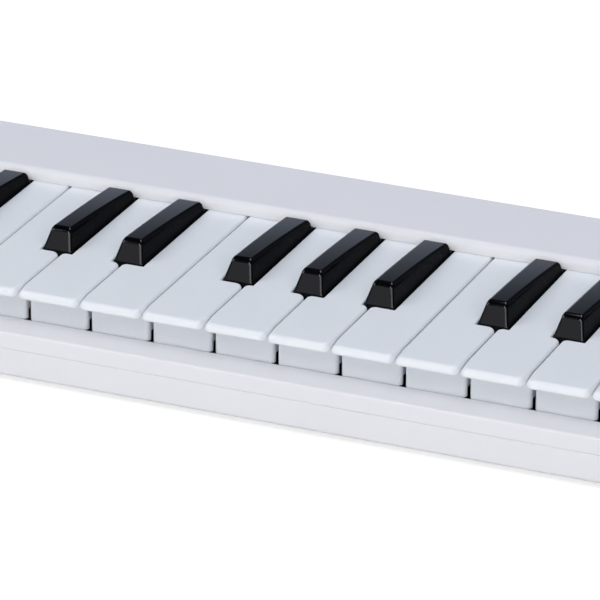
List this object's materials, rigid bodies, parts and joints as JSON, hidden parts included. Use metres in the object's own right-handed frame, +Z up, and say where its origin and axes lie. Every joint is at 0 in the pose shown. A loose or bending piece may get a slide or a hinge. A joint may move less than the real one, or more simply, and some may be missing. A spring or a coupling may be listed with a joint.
{
  "type": "mini keyboard controller",
  "caption": "Slim white keyboard controller with small hinged keys, two thumb wheels and two octave buttons on a plain panel, in a two-part case.",
  "frame": {"origin": "centre of the footprint, on the surface that the feet stand on", "axes": "+X along the keys from the lowest note to the highest, +Y from the player to the rear, +Z up"},
  "size_m": [0.418, 0.1194, 0.039],
  "materials": {
    "case_white": "fine satin moulding",
    "key_white": "smooth, slightly bluish white",
    "key_black": "polished black",
    "inner_grey": "plain dark moulding",
    "control_grey": "satin light grey",
    "steel": "drawn steel",
    "silicone": "matt silicone",
    "felt": "woven felt",
    "board_green": "lacquered circuit board",
    "rubber": "matt rubber",
    "lens": "clear white lens"
  },
  "bodies": {
    "base": {"upper_case": "case_white", "lower_case": "case_white", "key_bed": "inner_grey", "hinge_rod": "steel", "contact_board": "board_green", "contact_strip_low": "silicone", "contact_strip_mid": "silicone", "contact_strip_high": "silicone", "down_stop_felt": "felt", "up_stop_felt": "felt", "main_board": "board_green", "ribbon_cable": "control_grey", "usb_socket": "steel", "wheel_bracket": "inner_grey", "pitch_sensor": "inner_grey", "mod_sensor": "inner_grey", "pitch_spring": "steel", "button_board": "board_green", "power_light": "lens", "foot_front_left": "rubber", "foot_front_right": "rubber", "foot_rear_left": "rubber", "foot_rear_right": "rubber"},
    "key_f1": {"key_f1": "key_white"},
    "key_fs1": {"key_fs1": "key_black"},
    "key_g1": {"key_g1": "key_white"},
    "key_gs1": {"key_gs1": "key_black"},
    "key_a1": {"key_a1": "key_white"},
    "key_as1": {"key_as1": "key_black"},
    "key_b1": {"key_b1": "key_white"},
    "key_c2": {"key_c2": "key_white"},
    "key_cs2": {"key_cs2": "key_black"},
    "key_d2": {"key_d2": "key_white"},
    "key_ds2": {"key_ds2": "key_black"},
    "key_e2": {"key_e2": "key_white"},
    "key_f2": {"key_f2": "key_white"},
    "key_fs2": {"key_fs2": "key_black"},
    "key_g2": {"key_g2": "key_white"},
    "key_gs2": {"key_gs2": "key_black"},
    "key_a2": {"key_a2": "key_white"},
    "key_as2": {"key_as2": "key_black"},
    "key_b2": {"key_b2": "key_white"},
    "key_c3": {"key_c3": "key_white"},
    "key_cs3": {"key_cs3": "key_black"},
    "key_d3": {"key_d3": "key_white"},
    "key_ds3": {"key_ds3": "key_black"},
    "key_e3": {"key_e3": "key_white"},
    "key_f3": {"key_f3": "key_white"},
    "key_fs3": {"key_fs3": "key_black"},
    "key_g3": {"key_g3": "key_white"},
    "key_gs3": {"key_gs3": "key_black"},
    "key_a3": {"key_a3": "key_white"},
    "key_as3": {"key_as3": "key_black"},
    "key_b3": {"key_b3": "key_white"},
    "key_c4": {"key_c4": "key_white"},
    "pitch_wheel": {"pitch_wheel": "control_grey"},
    "mod_wheel": {"mod_wheel": "control_grey"},
    "octave_down_button": {"octave_down_button": "control_grey"},
    "octave_up_button": {"octave_up_button": "control_grey"}
  },
  "joints": [
    {"name": "pitch_wheel_turn", "type": "hinge", "parent": "base", "child": "pitch_wheel", "pos_m": [-0.19245, 0.0468, 0.029], "axis": [-1, 0, 0], "range_deg": [-40, 40], "stiffness_Nm_per_rad": 0.004},
    {"name": "mod_wheel_turn", "type": "hinge", "parent": "base", "child": "mod_wheel", "pos_m": [-0.18155, 0.0468, 0.029], "axis": [-1, 0, 0], "range_deg": [0, 70]},
    {"name": "octave_down_button_press", "type": "slide", "parent": "base", "child": "octave_down_button", "axis": [0, 0, -1], "range_m": [0, 0.001], "stiffness_N_per_m": 200, "springref_m": -0.002},
    {"name": "octave_up_button_press", "type": "slide", "parent": "base", "child": "octave_up_button", "axis": [0, 0, -1], "range_m": [0, 0.001], "stiffness_N_per_m": 200, "springref_m": -0.002},
    {"name": "key_f1_hinge", "type": "hinge", "parent": "base", "child": "key_f1", "pos_m": [0, 0.032, 0.0245], "axis": [1, 0, 0], "range_deg": [0, 2.2], "stiffness_Nm_per_rad": 0.45, "springref_deg": -4.58, "deforming": ["contact_strip_low"]},
    {"name": "key_fs1_hinge", "type": "hinge", "parent": "base", "child": "key_fs1", "pos_m": [0, 0.032, 0.0245], "axis": [1, 0, 0], "range_deg": [0, 2.8], "stiffness_Nm_per_rad": 0.45, "springref_deg": -4.58, "deforming": ["contact_strip_low"]},
    {"name": "key_g1_hinge", "type": "hinge", "parent": "base", "child": "key_g1", "pos_m": [0, 0.032, 0.0245], "axis": [1, 0, 0], "range_deg": [0, 2.2], "stiffness_Nm_per_rad": 0.45, "springref_deg": -4.58, "deforming": ["contact_strip_low"]},
    {"name": "key_gs1_hinge", "type": "hinge", "parent": "base", "child": "key_gs1", "pos_m": [0, 0.032, 0.0245], "axis": [1, 0, 0], "range_deg": [0, 2.8], "stiffness_Nm_per_rad": 0.45, "springref_deg": -4.58, "deforming": ["contact_strip_low"]},
    {"name": "key_a1_hinge", "type": "hinge", "parent": "base", "child": "key_a1", "pos_m": [0, 0.032, 0.0245], "axis": [1, 0, 0], "range_deg": [0, 2.2], "stiffness_Nm_per_rad": 0.45, "springref_deg": -4.58, "deforming": ["contact_strip_low"]},
    {"name": "key_as1_hinge", "type": "hinge", "parent": "base", "child": "key_as1", "pos_m": [0, 0.032, 0.0245], "axis": [1, 0, 0], "range_deg": [0, 2.8], "stiffness_Nm_per_rad": 0.45, "springref_deg": -4.58, "deforming": ["contact_strip_low"]},
    {"name": "key_b1_hinge", "type": "hinge", "parent": "base", "child": "key_b1", "pos_m": [0, 0.032, 0.0245], "axis": [1, 0, 0], "range_deg": [0, 2.2], "stiffness_Nm_per_rad": 0.45, "springref_deg": -4.58, "deforming": ["contact_strip_low"]},
    {"name": "key_c2_hinge", "type": "hinge", "parent": "base", "child": "key_c2", "pos_m": [0, 0.032, 0.0245], "axis": [1, 0, 0], "range_deg": [0, 2.2], "stiffness_Nm_per_rad": 0.45, "springref_deg": -4.58, "deforming": ["contact_strip_low"]},
    {"name": "key_cs2_hinge", "type": "hinge", "parent": "base", "child": "key_cs2", "pos_m": [0, 0.032, 0.0245], "axis": [1, 0, 0], "range_deg": [0, 2.8], "stiffness_Nm_per_rad": 0.45, "springref_deg": -4.58, "deforming": ["contact_strip_low"]},
    {"name": "key_d2_hinge", "type": "hinge", "parent": "base", "child": "key_d2", "pos_m": [0, 0.032, 0.0245], "axis": [1, 0, 0], "range_deg": [0, 2.2], "stiffness_Nm_per_rad": 0.45, "springref_deg": -4.58, "deforming": ["contact_strip_low"]},
    {"name": "key_ds2_hinge", "type": "hinge", "parent": "base", "child": "key_ds2", "pos_m": [0, 0.032, 0.0245], "axis": [1, 0, 0], "range_deg": [0, 2.8], "stiffness_Nm_per_rad": 0.45, "springref_deg": -4.58, "deforming": ["contact_strip_low"]},
    {"name": "key_e2_hinge", "type": "hinge", "parent": "base", "child": "key_e2", "pos_m": [0, 0.032, 0.0245], "axis": [1, 0, 0], "range_deg": [0, 2.2], "stiffness_Nm_per_rad": 0.45, "springref_deg": -4.58, "deforming": ["contact_strip_low"]},
    {"name": "key_f2_hinge", "type": "hinge", "parent": "base", "child": "key_f2", "pos_m": [0, 0.032, 0.0245], "axis": [1, 0, 0], "range_deg": [0, 2.2], "stiffness_Nm_per_rad": 0.45, "springref_deg": -4.58, "deforming": ["contact_strip_mid"]},
    {"name": "key_fs2_hinge", "type": "hinge", "parent": "base", "child": "key_fs2", "pos_m": [0, 0.032, 0.0245], "axis": [1, 0, 0], "range_deg": [0, 2.8], "stiffness_Nm_per_rad": 0.45, "springref_deg": -4.58, "deforming": ["contact_strip_mid"]},
    {"name": "key_g2_hinge", "type": "hinge", "parent": "base", "child": "key_g2", "pos_m": [0, 0.032, 0.0245], "axis": [1, 0, 0], "range_deg": [0, 2.2], "stiffness_Nm_per_rad": 0.45, "springref_deg": -4.58, "deforming": ["contact_strip_mid"]},
    {"name": "key_gs2_hinge", "type": "hinge", "parent": "base", "child": "key_gs2", "pos_m": [0, 0.032, 0.0245], "axis": [1, 0, 0], "range_deg": [0, 2.8], "stiffness_Nm_per_rad": 0.45, "springref_deg": -4.58, "deforming": ["contact_strip_mid"]},
    {"name": "key_a2_hinge", "type": "hinge", "parent": "base", "child": "key_a2", "pos_m": [0, 0.032, 0.0245], "axis": [1, 0, 0], "range_deg": [0, 2.2], "stiffness_Nm_per_rad": 0.45, "springref_deg": -4.58, "deforming": ["contact_strip_mid"]},
    {"name": "key_as2_hinge", "type": "hinge", "parent": "base", "child": "key_as2", "pos_m": [0, 0.032, 0.0245], "axis": [1, 0, 0], "range_deg": [0, 2.8], "stiffness_Nm_per_rad": 0.45, "springref_deg": -4.58, "deforming": ["contact_strip_mid"]},
    {"name": "key_b2_hinge", "type": "hinge", "parent": "base", "child": "key_b2", "pos_m": [0, 0.032, 0.0245], "axis": [1, 0, 0], "range_deg": [0, 2.2], "stiffness_Nm_per_rad": 0.45, "springref_deg": -4.58, "deforming": ["contact_strip_mid"]},
    {"name": "key_c3_hinge", "type": "hinge", "parent": "base", "child": "key_c3", "pos_m": [0, 0.032, 0.0245], "axis": [1, 0, 0], "range_deg": [0, 2.2], "stiffness_Nm_per_rad": 0.45, "springref_deg": -4.58, "deforming": ["contact_strip_mid"]},
    {"name": "key_cs3_hinge", "type": "hinge", "parent": "base", "child": "key_cs3", "pos_m": [0, 0.032, 0.0245], "axis": [1, 0, 0], "range_deg": [0, 2.8], "stiffness_Nm_per_rad": 0.45, "springref_deg": -4.58, "deforming": ["contact_strip_mid"]},
    {"name": "key_d3_hinge", "type": "hinge", "parent": "base", "child": "key_d3", "pos_m": [0, 0.032, 0.0245], "axis": [1, 0, 0], "range_deg": [0, 2.2], "stiffness_Nm_per_rad": 0.45, "springref_deg": -4.58, "deforming": ["contact_strip_mid"]},
    {"name": "key_ds3_hinge", "type": "hinge", "parent": "base", "child": "key_ds3", "pos_m": [0, 0.032, 0.0245], "axis": [1, 0, 0], "range_deg": [0, 2.8], "stiffness_Nm_per_rad": 0.45, "springref_deg": -4.58, "deforming": ["contact_strip_mid"]},
    {"name": "key_e3_hinge", "type": "hinge", "parent": "base", "child": "key_e3", "pos_m": [0, 0.032, 0.0245], "axis": [1, 0, 0], "range_deg": [0, 2.2], "stiffness_Nm_per_rad": 0.45, "springref_deg": -4.58, "deforming": ["contact_strip_mid"]},
    {"name": "key_f3_hinge", "type": "hinge", "parent": "base", "child": "key_f3", "pos_m": [0, 0.032, 0.0245], "axis": [1, 0, 0], "range_deg": [0, 2.2], "stiffness_Nm_per_rad": 0.45, "springref_deg": -4.58, "deforming": ["contact_strip_high"]},
    {"name": "key_fs3_hinge", "type": "hinge", "parent": "base", "child": "key_fs3", "pos_m": [0, 0.032, 0.0245], "axis": [1, 0, 0], "range_deg": [0, 2.8], "stiffness_Nm_per_rad": 0.45, "springref_deg": -4.58, "deforming": ["contact_strip_high"]},
    {"name": "key_g3_hinge", "type": "hinge", "parent": "base", "child": "key_g3", "pos_m": [0, 0.032, 0.0245], "axis": [1, 0, 0], "range_deg": [0, 2.2], "stiffness_Nm_per_rad": 0.45, "springref_deg": -4.58, "deforming": ["contact_strip_high"]},
    {"name": "key_gs3_hinge", "type": "hinge", "parent": "base", "child": "key_gs3", "pos_m": [0, 0.032, 0.0245], "axis": [1, 0, 0], "range_deg": [0, 2.8], "stiffness_Nm_per_rad": 0.45, "springref_deg": -4.58, "deforming": ["contact_strip_high"]},
    {"name": "key_a3_hinge", "type": "hinge", "parent": "base", "child": "key_a3", "pos_m": [0, 0.032, 0.0245], "axis": [1, 0, 0], "range_deg": [0, 2.2], "stiffness_Nm_per_rad": 0.45, "springref_deg": -4.58, "deforming": ["contact_strip_high"]},
    {"name": "key_as3_hinge", "type": "hinge", "parent": "base", "child": "key_as3", "pos_m": [0, 0.032, 0.0245], "axis": [1, 0, 0], "range_deg": [0, 2.8], "stiffness_Nm_per_rad": 0.45, "springref_deg": -4.58, "deforming": ["contact_strip_high"]},
    {"name": "key_b3_hinge", "type": "hinge", "parent": "base", "child": "key_b3", "pos_m": [0, 0.032, 0.0245], "axis": [1, 0, 0], "range_deg": [0, 2.2], "stiffness_Nm_per_rad": 0.45, "springref_deg": -4.58, "deforming": ["contact_strip_high"]},
    {"name": "key_c4_hinge", "type": "hinge", "parent": "base", "child": "key_c4", "pos_m": [0, 0.032, 0.0245], "axis": [1, 0, 0], "range_deg": [0, 2.2], "stiffness_Nm_per_rad": 0.45, "springref_deg": -4.58, "deforming": ["contact_strip_high"]}
  ]
}
